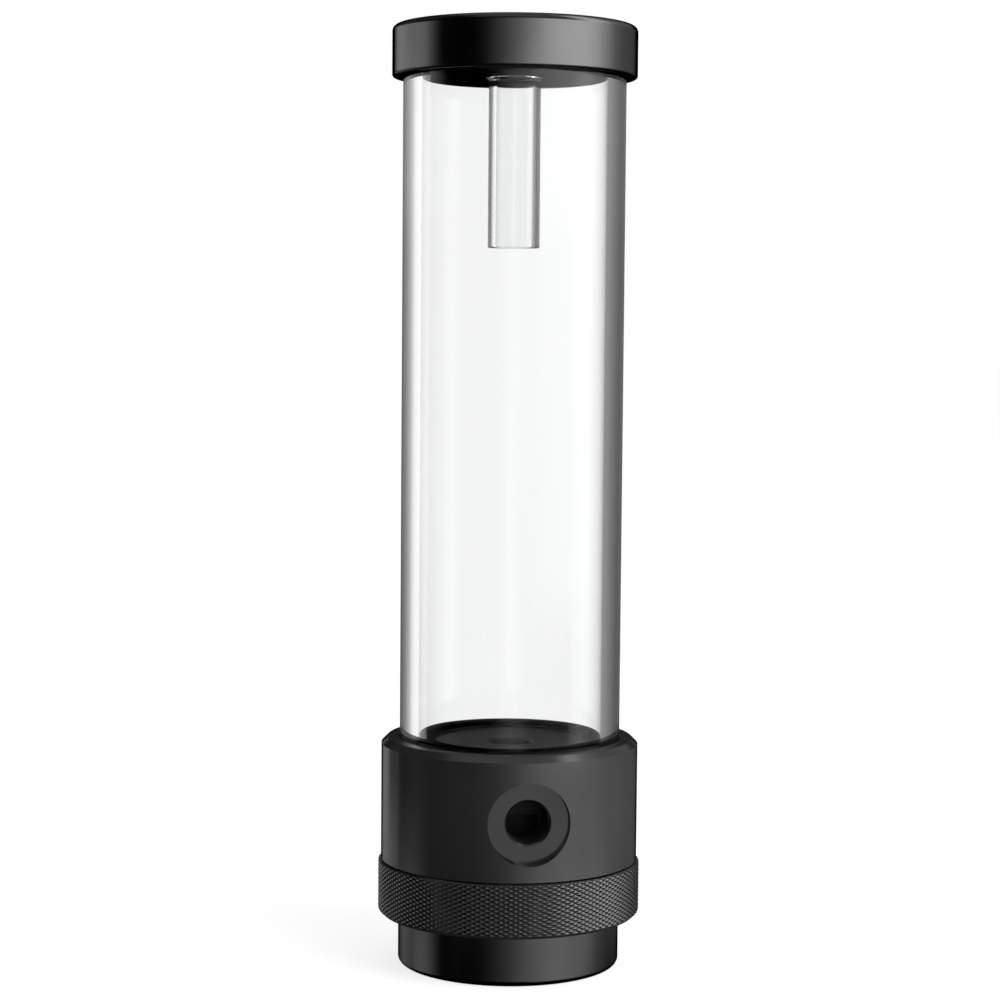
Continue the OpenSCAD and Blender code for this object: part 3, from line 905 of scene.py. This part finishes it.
@dataclass
class Base(Assembly):
    """The base with its floor plate, seals and threads.

    Attributes:
        thread: The male thread for the lock ring.
        shade_sheet_rise: Height of the shade sheet's top over the base's, in millimetres.
        port_height: Height of the outlet port's axis.
        port_start: Distance of the port's thread from the object's axis.
        port_length: Length of the port's thread.
    """

    thread: Thread = Thread(33.0, RING_THREAD_DEPTH, RING_PITCH, Hand.OUTSIDE)
    shade_sheet_rise: float = 0.15
    port_height: float = 44.1
    port_start: float = 20.1
    port_length: float = 9.5

    def build(self) -> None:
        """Dresses the base's nodes and winds its threads."""
        acetal, body, slot = Finishes.ACETAL, Body.RESERVOIR, "base_black"
        self.dress(acetal, "base_manifold")
        self.dress(Finishes.PLATE, "floor_plate")
        self.dress(Finishes.RUBBER, "floor_seal", "tube_seal_lower", "pump_seal")
        # A black sheet round the floor plate, as painted shade.
        self.place("sump_shade_sheet", self.sump_shade_sheet(), Finishes.SHADE_SHEET_BLACK, body, "seal")
        low, high = ring_thread_heights()
        self.place("base_thread", self.thread.wound(low, high - low), acetal, body, slot)
        self.place("outlet_thread", self.outlet_thread(), acetal, body, slot)

    def sump_shade_sheet(self) -> bmesh.types.BMesh:
        """Turns the flat black sheet round the floor plate, a painted shade between the plate and
        the tube.

        Returns:
            The sheet.
        """
        inner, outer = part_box("floor_plate")[1].x / MM + SHADE_SHEET_GAP, TUBE_BORE - SHADE_SHEET_GAP
        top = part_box("base_manifold")[1].z / MM + self.shade_sheet_rise
        return turned(
            [
                Corner(inner, top - SHADE_SHEET), Corner(outer, top - SHADE_SHEET),
                Corner(outer, top, SHADE_SHEET_EASING), Corner(inner, top, SHADE_SHEET_EASING),
            ]
        )

    def outlet_thread(self) -> bmesh.types.BMesh:
        """Winds the outlet port's thread, upright at first and then laid along the port.

        Returns:
            The ridge.
        """
        shape = PORT_THREAD.wound(self.port_start, self.port_length)
        laid = Matrix.Rotation(math.radians(90), 3, "X")
        bmesh.ops.rotate(shape, verts=shape.verts[:], cent=CENTRE, matrix=laid)
        bmesh.ops.translate(shape, verts=shape.verts[:], vec=(0, 0, self.port_height * MM))
        return shape


@dataclass
class Cap(Assembly):
    """The cap with its fill plug, seals and threads.

    Attributes:
        shade_sheet_room: Room between the drop tube and the shade sheet, in millimetres.
        bead: Size of the cement bead round the drop tube.
        bond: How far the bead is clear of the tube and sunk into the cap.
        hollow: How far the bead's slope lies in, as shares of its size.
        port_ends: Room below and above the return port's thread.
        plug_thread: The fill plug's thread.
        plug_out: Distance of the plug's axis from the object's.
        plug_lead: Distance from the plug's lower end to its thread.
        plug_length: Length of the plug's thread.
    """

    shade_sheet_room: float = 1.0
    bead: float = 0.8
    bond: float = 0.02
    hollow: tuple[float, float] = (0.3, 0.4)
    port_ends: tuple[float, float] = (0.9, 1.4)
    plug_thread: Thread = Thread(5.4975, 0.62, PORT_THREAD.pitch, Hand.OUTSIDE)
    plug_out: float = 16.7775
    plug_lead: float = 0.8
    plug_length: float = 4.4

    def build(self) -> None:
        """Dresses the cap's nodes and winds its threads."""
        black, body, slot = Finishes.ANODISED, Body.RESERVOIR, "cap_black"
        self.dress(black, "top_cap", "fill_plug")
        self.dress(Finishes.RUBBER, "tube_seal_upper", "drop_tube_seal", "fill_plug_seal")
        # A black sheet under the cap, as painted shade.
        self.place("cap_shade_sheet", self.cap_shade_sheet(), Finishes.SHADE_SHEET_BLACK, body, "seal")
        self.place("cement_bead", self.cement_bead(), ClearAcrylic(), body, "clear", crease=5.0)
        self.place("return_thread", self.return_thread(), black, body, slot)
        self.place("plug_thread", self.wound_plug(), black, Body.FILL_PLUG, slot)

    def cap_shade_sheet(self) -> bmesh.types.BMesh:
        """Turns the flat black sheet under the cap, inside the tube, as painted shade on the cap's
        underside.

        Returns:
            The sheet.
        """
        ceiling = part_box("top_cap")[0].z / MM
        inner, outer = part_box("drop_tube")[1].x / MM + self.shade_sheet_room, TUBE_BORE - SHADE_SHEET_GAP
        under = ceiling - SHADE_SHEET
        return turned(
            [
                Corner(inner, under, SHADE_SHEET_EASING), Corner(outer, under, SHADE_SHEET_EASING),
                Corner(outer, ceiling), Corner(inner, ceiling),
            ]
        )

    def cement_bead(self) -> bmesh.types.BMesh:
        """Turns the clear bead that bonds the drop tube to the cap.

        Returns:
            The bead.
        """
        ceiling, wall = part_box("top_cap")[0].z / MM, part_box("drop_tube")[1].x / MM + self.bond
        out, down = (share * self.bead for share in self.hollow)
        return turned(
            [
                Corner(wall, ceiling - self.bond), Corner(wall, ceiling - self.bead),
                Corner(wall + out, ceiling - down), Corner(wall + self.bead, ceiling - self.bond),
            ],
            steps=128,
        )

    def return_thread(self) -> bmesh.types.BMesh:
        """Winds the return port's thread."""
        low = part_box("drop_tube")[1].z / MM + self.port_ends[0]
        return PORT_THREAD.wound(low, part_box("top_cap")[1].z / MM - self.port_ends[1] - low)

    def wound_plug(self) -> bmesh.types.BMesh:
        """Winds the thread on the fill plug's shank.

        Returns:
            The ridge.
        """
        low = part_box("fill_plug")[0].z / MM + self.plug_lead
        shape = self.plug_thread.wound(low, self.plug_length)
        bmesh.ops.translate(shape, verts=shape.verts[:], vec=(0, self.plug_out * MM, 0))
        return shape


@dataclass
class LockRing(Assembly):
    """The knurled ring that clamps the pump, with its slip washer.

    Attributes:
        columns: Peaks of the knurl round the ring.
        rows: Peaks of the knurl from its lower to its upper edge.
        depth: Depth of the knurl in millimetres.
        inset: How far the rims above and below lie behind the knurl's valleys.
        lower_edge: Height from the ring's underside to the knurl.
        upper_edge: Height from the knurl to the ring's top.
        rounding: How far down its edges a peak is rounded off.
        crease: Angle in degrees above which an edge stays sharp.
        thread: The thread in the ring's bore.
        turns: Most turns of the thread.
    """

    columns: int = 88
    rows: int = 11
    depth: float = 0.42
    inset: float = 0.2
    lower_edge: float = 0.9
    upper_edge: float = 0.5
    rounding: float = 0.4
    crease: float = 55.0
    thread: Thread = Thread(33.55, RING_THREAD_DEPTH, RING_PITCH, Hand.INSIDE)
    turns: int = 3

    def build(self) -> None:
        """Dresses the washer and places the ring and its thread."""
        black, body, slot = Finishes.KNURLED, Body.LOCK_RING, "ring_black"
        self.dress(Finishes.NYLON, "slip_washer")
        self.place("knurled_ring", self.ring(), black, body, slot, "lock_ring", self.crease)
        self.place("ring_thread", self.female_thread(), black, body, slot)

    def ring(self) -> bmesh.types.BMesh:
        """Turns the ring and presses the knurl into its side.

        Returns:
            The ring.
        """
        low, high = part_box("lock_ring")
        bottom, top, peak = low.z / MM, high.z / MM, high.x / MM
        lip, seat = self.bore("lock_ring"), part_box("slip_washer")[0].z / MM
        valley, start, end = peak - self.depth, bottom + self.lower_edge, top - self.upper_edge
        core, levels = valley - self.inset, 2 * self.rows
        below, above = self.lower_edge / 2, self.upper_edge / 2
        step = (end - start) / levels
        side = [Corner(valley, start + k * step) for k in range(levels + 1)]
        ring = turned(
            [
                Corner(lip, bottom), Corner(core - below, bottom), Corner(core, bottom + below),
                *side, Corner(core, top - above), Corner(core - above, top),
                Corner(self.thread.wall, top), Corner(self.thread.wall, seat), Corner(lip, seat),
            ],
            steps=2 * self.columns,
        )
        peaks, valleys, near = [], [], 0.01
        for vert in ring.verts:
            level = (vert.co.z / MM - start) / step
            on_side = abs(math.hypot(vert.co.x, vert.co.y) / MM - valley) < near
            if on_side and -near < level < levels + near:
                column = round(math.atan2(vert.co.y, vert.co.x) * self.columns / math.pi)
                (peaks if (column + round(level)) % 2 == 0 else valleys).append(vert)
        raised = peak / valley
        bmesh.ops.scale(ring, vec=(raised, raised, 1.0), verts=peaks)
        bmesh.ops.connect_verts(ring, verts=valleys)
        bmesh.ops.bevel(
            ring, geom=peaks, offset=self.rounding * MM, offset_type="OFFSET",
            affect="VERTICES", segments=2, profile=0.5, material=-1,
        )
        return ring

    def female_thread(self) -> bmesh.types.BMesh:
        """Winds the ring's thread between the turns of the base's."""
        low, high = ring_thread_heights()
        return self.thread.wound(low, min(self.turns * self.thread.pitch, high - low), 0.5)


@dataclass
class Pump(Assembly):
    """The pump's housing with its board, motor and rotor."""

    def build(self) -> None:
        """Dresses the pump's nodes."""
        self.dress(Finishes.FOOT, "pump_housing")
        self.dress(Finishes.RUBBER, "cable_grommet")
        self.dress(Finishes.FIBRE, "can_gasket")
        self.dress(CircuitBoard(), "driver_board")
        self.dress(BoardParts(), "board_parts")
        self.dress(Laminations(), "stator_core")
        self.dress(CopperWinding(), "stator_coils")
        self.dress(Finishes.STEEL, "board_screws", "separator_can", "bearing_post")
        self.dress(Finishes.CERAMIC, "bearing_ball")
        self.dress(Finishes.MAGNET, "rotor_magnet")
        self.dress(Finishes.ROTOR, "impeller")
        self.dress(Finishes.CARBON, "bearing_cup")


@dataclass(frozen=True)
class Patch:
    """A part of the room of light, with soft edges.

    A turn runs from 0 behind the object past its left to 0.5 at the camera, and past its right
    to 1. A height is the upward part of a direction. Each edge is where the patch starts and
    where it is full.

    Attributes:
        turn: Edges round the object.
        up: Edges in height.
        level: The light there, or the factor for it.
    """

    turn: Pairs = ()
    up: Pairs = ()
    level: float = 1.0


class Room:
    """The room of soft light round the object, as its surfaces show it.

    AROUND and AROUND_BASE give brightness by the angle in degrees to the right of the camera,
    the second as the base and the lowest part of the tube show it.
    """

    AROUND = (
        (-180, 0.12), (-162, 0.2), (-150, 0.5), (-140, 0.95), (-128, 1.05), (-112, 1.3),
        (-101, 1.75), (-92, 1.7), (-84, 0.8), (-74, 0.0), (-36, 0.0), (-26, 0.1), (-12, 0.85),
        (2, 2.15), (16, 4.5), (30, 6.8), (46, 8.0), (58, 7.9), (72, 6.2), (90, 2.8), (106, 0.8),
        (122, 0.32), (150, 0.17), (165, 0.1), (180, 0.12),
    )
    AROUND_BASE = (
        (-180, 0.0), (-104, 0.0), (-90, 0.07), (-74, 0.2), (-51, 0.33), (-26, 0.42), (-12, 0.38),
        (5, 0.32), (17, 0.32), (29, 0.33), (40, 0.45), (52, 0.7), (64, 1.0), (77, 1.02),
        (92, 1.02), (109, 0.95), (130, 0.4), (151, 0.22), (180, 0.1),
    )
    LEFT = Patch(turn=((0.17, 0.19), (0.42, 0.36)))
    LEFT_RISE = Patch(up=((-0.14, -0.05),))
    LEFT_LOWER = Patch(up=((-0.5, -0.33), (-0.21, -0.23)), level=0.6)
    RIGHT_RISE = (-0.35, 0.1, 0.25, 1.0)
    RIGHT_FOOT = Patch(up=((-0.55, -0.36),))
    BELOW_CEILING = Patch(up=((0.2, 0.14),))
    CEILING = (0.65, 0.75, 0.08, 2.0)
    CEILING_END = Patch(up=((0.92, 0.84),))
    CAP = Patch(up=((0.02, 0.06), (0.2, 0.14)), level=1.3)
    RING = Patch(((0.68, 0.76),), ((-0.246, -0.236), (-0.212, -0.222)), 2.5)
    BEHIND_LEFT = Patch(((0.1, 0.07),), ((0.13, 0.16),), 0.2)
    BEHIND_RIGHT = Patch(((0.9, 0.93),), ((0.13, 0.16),), 0.2)
    FOOT_EDGE = Patch(((0.82, 0.87),), ((-0.242, -0.248),), 0.2)
    LOW_TUBE = Patch(((0.52, 0.56), (0.82, 0.78)), ((-0.08, -0.15),), 0.06)
    LOWEST_TUBE = Patch(up=((-0.165, -0.24),))
    BASE = Patch(up=((-0.222, -0.214), (-0.152, -0.162)))
    BAND = Patch(turn=((0.125, 0.115),), level=0.6)
    WIDE_BAND = Patch(((0.18, 0.17),), ((-0.188, -0.193),))
    ZENITH = Patch(up=((0.82, 0.92),), level=0.75)
    SKYLIGHT = Patch(((0.33, 0.43), (0.62, 0.54)), ((0.5, 0.62), (0.84, 0.8)))
    FRONT, MOST_LIGHT = Patch(turn=((0.5, 0.53), (0.72, 0.69))), (3.0, 0.8)
    DARK_LEFT = Patch(turn=((0.187, 0.2), (0.47, 0.45)), level=0.1)

    def __init__(self, graph: Graph, turn: Socket, up: Socket, sharp: Socket) -> None:
        """Starts the room with its brightness all round.

        Args:
            graph: The world's graph.
            turn: Turn of the direction.
            up: Height of the direction.
            sharp: Whether the surface is as clear as a mirror, as the tubes are.
        """
        self.graph, self.turn, self.up, self.sharp = graph, turn, up, sharp
        self.bright = self.ring_of_light(self.AROUND)

    def ring_of_light(self, stops: Pairs) -> Socket:
        """Gives the brightness of the room all round the object.

        Args:
            stops: Directions in degrees, each with its brightness.

        Returns:
            The brightness.
        """
        brightest = max(value for _, value in stops)
        places = [((angle + 180.0) / 360.0, value / brightest) for angle, value in stops]
        return self.graph.product(self.graph.ramp(self.turn, places), brightest)

    def share(self, patch: Patch) -> Socket:
        """Gives how far a direction lies in a patch, from 0 to 1."""
        edges = [(self.turn, pair) for pair in patch.turn] + [(self.up, pair) for pair in patch.up]
        return self.graph.product(*(self.graph.span(value, *pair) for value, pair in edges))

    def through(self) -> Socket:
        """Gives the room as it is seen through the tubes.

        Returns:
            The brightness.
        """
        most = self.graph.span(self.share(self.FRONT), 0.0, 1.0, *self.MOST_LIGHT)
        dark = self.graph.gain(self.share(self.DARK_LEFT), self.DARK_LEFT.level)
        return self.graph.product(self.graph.math("MINIMUM", self.bright, most), dark)

    def reflected(self) -> Socket:
        """Gives the room as surfaces reflect it, shaded by height.

        Returns:
            The brightness.
        """
        graph = self.graph
        shaded = graph.product(self.bright, self.rise())
        for patch in (self.CAP, self.RING, self.BEHIND_LEFT, self.BEHIND_RIGHT, self.FOOT_EDGE):
            shaded = graph.product(shaded, graph.gain(self.share(patch), patch.level))
        tube = graph.math("MAXIMUM", self.share(self.LOW_TUBE), self.share(self.LOWEST_TUBE))
        tube = graph.product(tube, self.sharp)
        shaded = graph.product(shaded, graph.gain(tube, self.LOW_TUBE.level))
        base = graph.product(self.share(self.BASE), graph.math("SUBTRACT", 1.0, self.sharp))
        shaded = graph.blend(base, shaded, self.low_room())
        for patch in (self.ZENITH, self.SKYLIGHT):
            shaded = graph.math("ADD", shaded, graph.product(self.share(patch), patch.level))
        return shaded

    def rise(self) -> Socket:
        """Gives how the light rises from the floor to the ceiling.

        Returns:
            The factor for the room's brightness.
        """
        graph = self.graph
        right = graph.product(graph.span(self.up, *self.RIGHT_RISE), self.share(self.RIGHT_FOOT))
        left = graph.product(self.share(self.LEFT_LOWER), self.LEFT_LOWER.level)
        left = graph.math("ADD", self.share(self.LEFT_RISE), left)
        least = graph.product(graph.span(self.turn, *self.CEILING), self.share(self.CEILING_END))
        sides = graph.blend(self.share(self.LEFT), right, left)
        return graph.product(sides, graph.blend(self.share(self.BELOW_CEILING), least, 1.0))

    def low_room(self) -> Socket:
        """Gives the room as the base shows it, with the panel far on the left.

        Returns:
            The brightness.
        """
        graph = self.graph
        band = graph.math("MAXIMUM", self.share(self.WIDE_BAND), self.share(self.BAND))
        room = self.ring_of_light(self.AROUND_BASE)
        return graph.math("ADD", room, graph.product(band, self.BAND.level))


@dataclass(frozen=True)
class Studio:
    """The floor, the light and the camera.

    Attributes:
        facing: Turn of the camera round the object in degrees, as the port is seen from it.
        distance: Distance of the camera from the object's axis, in metres.
        height: Height of the camera in metres.
        focal: Focal length in image widths.
        yaw: Turn of the view from the axis, in radians.
        pitch: Tilt of the view downwards, in radians.
        roll: Roll of the view, in radians.
        level: Brightness of the world for the object's own colours.
        spot: Place of the lamp.
        aim: Place that the lamp is turned to.
        glow: Brightness of the floor by itself.
        tone: Grey of the floor in the light.
    """

    facing: float = -9.2
    distance: float = 0.6772
    height: float = 0.1744
    focal: float = 2.4965
    yaw: float = -0.0046
    pitch: float = 0.0704
    roll: float = 0.0081
    level: float = 0.55
    spot: tuple[float, float, float] = (0.75, -0.85, 1.05)
    aim: tuple[float, float, float] = (0.0, 0.0, 0.1)
    glow: float = 0.73
    tone: float = 0.5

    def build(self) -> None:
        """Sets up the whole studio."""
        self.camera()
        self.world()
        self.lamp()
        self.floor()
        bpy.context.scene.view_settings.view_transform = "Standard"

    def camera(self) -> None:
        """Places the camera."""
        turn = Matrix.Rotation
        view = turn(math.pi / 2 - self.pitch, 4, "X") @ turn(self.roll, 4, "Z")
        place = Matrix.Translation((0.0, -self.distance, self.height)) @ turn(-self.yaw, 4, "Z")
        data = bpy.data.cameras.new("camera")
        data.sensor_width = 36.0
        data.lens = self.focal * data.sensor_width
        data.clip_start = 0.01
        camera = scene_object("camera", data)
        camera.matrix_world = turn(math.radians(self.facing), 4, "Z") @ place @ view
        bpy.context.scene.camera = camera

    def world(self) -> None:
        """Makes the world: white to look at, and a room of soft light in reflections."""
        world = bpy.data.worlds.new("studio")
        bpy.context.scene.world = world
        graph = Graph.of(world)
        path = graph.add("LightPath").outputs
        aim = graph.add("TexCoord").outputs["Generated"]
        across, along, up = graph.add("SeparateXYZ", {0: aim}).outputs
        turn = graph.math("ARCTAN2", across, graph.product(along, -1.0))
        turn = graph.math("SUBTRACT", turn, math.radians(self.facing))
        turn = graph.math("DIVIDE", graph.math("ADD", turn, math.pi), FULL_TURN)
        room = Room(graph, graph.math("FRACT", turn), up, path["Is Singular Ray"])
        glossy, passed = path["Is Glossy Ray"], path["Is Transmission Ray"]
        mirrored = graph.product(glossy, graph.math("SUBTRACT", 1.0, passed))
        light = graph.blend(mirrored, room.through(), room.reflected())
        straight = graph.product(graph.math("LESS_THAN", path["Glossy Depth"], 0.5), passed)
        open_view = graph.math("MAXIMUM", path["Is Camera Ray"], straight)
        bounced = graph.math("MAXIMUM", glossy, passed)
        strength = graph.product(graph.math("SUBTRACT", 1.0, bounced), self.level)
        strength = graph.math("ADD", strength, graph.product(bounced, light))
        strength = graph.blend(open_view, strength, 1.0)
        white = graph.add("Background", {"Color": (1.0, 1.0, 1.0, 1.0), "Strength": strength})
        graph.add("OutputWorld", {"Surface": white.outputs[0]})

    def lamp(self) -> None:
        """Hangs a large soft lamp at the front right."""
        data = bpy.data.lights.new("soft_lamp", "AREA")
        data.shape = "RECTANGLE"
        data.size, data.size_y, data.energy = 0.9, 0.9, 9.0
        lamp = scene_object("soft_lamp", data)
        lamp.location = self.spot
        beam = Vector(self.aim) - Vector(self.spot)
        lamp.rotation_euler = beam.to_track_quat("-Z", "Y").to_euler()
        lamp.visible_glossy = False
        lamp.visible_transmission = False

    def floor(self) -> None:
        """Lays the plain pale floor."""
        shape = bmesh.new()
        bmesh.ops.create_grid(shape, x_segments=8, y_segments=8, size=12.0)
        mesh = bpy.data.meshes.new("floor")
        shape.to_mesh(mesh)
        shape.free()
        floor = scene_object("floor", mesh)
        material = bpy.data.materials.new("pale_floor")
        graph = Graph.of(material)
        path = graph.add("LightPath").outputs
        glow = graph.product(path["Is Camera Ray"], self.glow)
        glow = graph.add("Emission", {"Strength": glow})
        matt = graph.add("BsdfDiffuse", {"Color": (self.tone, self.tone, self.tone, 1.0)})
        both = graph.add("AddShader", {0: matt.outputs[0], 1: glow.outputs[0]})
        passed = graph.add("BsdfTransparent")
        bounced = graph.math("MAXIMUM", path["Is Transmission Ray"], path["Is Glossy Ray"])
        below = graph.add("NewGeometry").outputs["Backfacing"]
        bounced = graph.math("MAXIMUM", bounced, below)
        shown = graph.add("MixShader", {0: bounced, 1: both.outputs[0], 2: passed.outputs[0]})
        graph.add("OutputMaterial", {"Surface": shown.outputs[0]})
        mesh.materials.append(material)
        floor.visible_glossy = False


def main() -> None:
    """Builds the object round the CAD frame, then the studio."""
    logging.basicConfig(level=logging.INFO, format="%(message)s")
    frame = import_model()
    finishes = Finishes()
    nodes = frame["nodes"]
    Studio().build()
    for part in (ClearTubes, Base, Cap, LockRing, Pump):
        part(nodes, finishes).build()
        log.info("built %s", part.__name__)


if __name__ == "__main__":
    main()
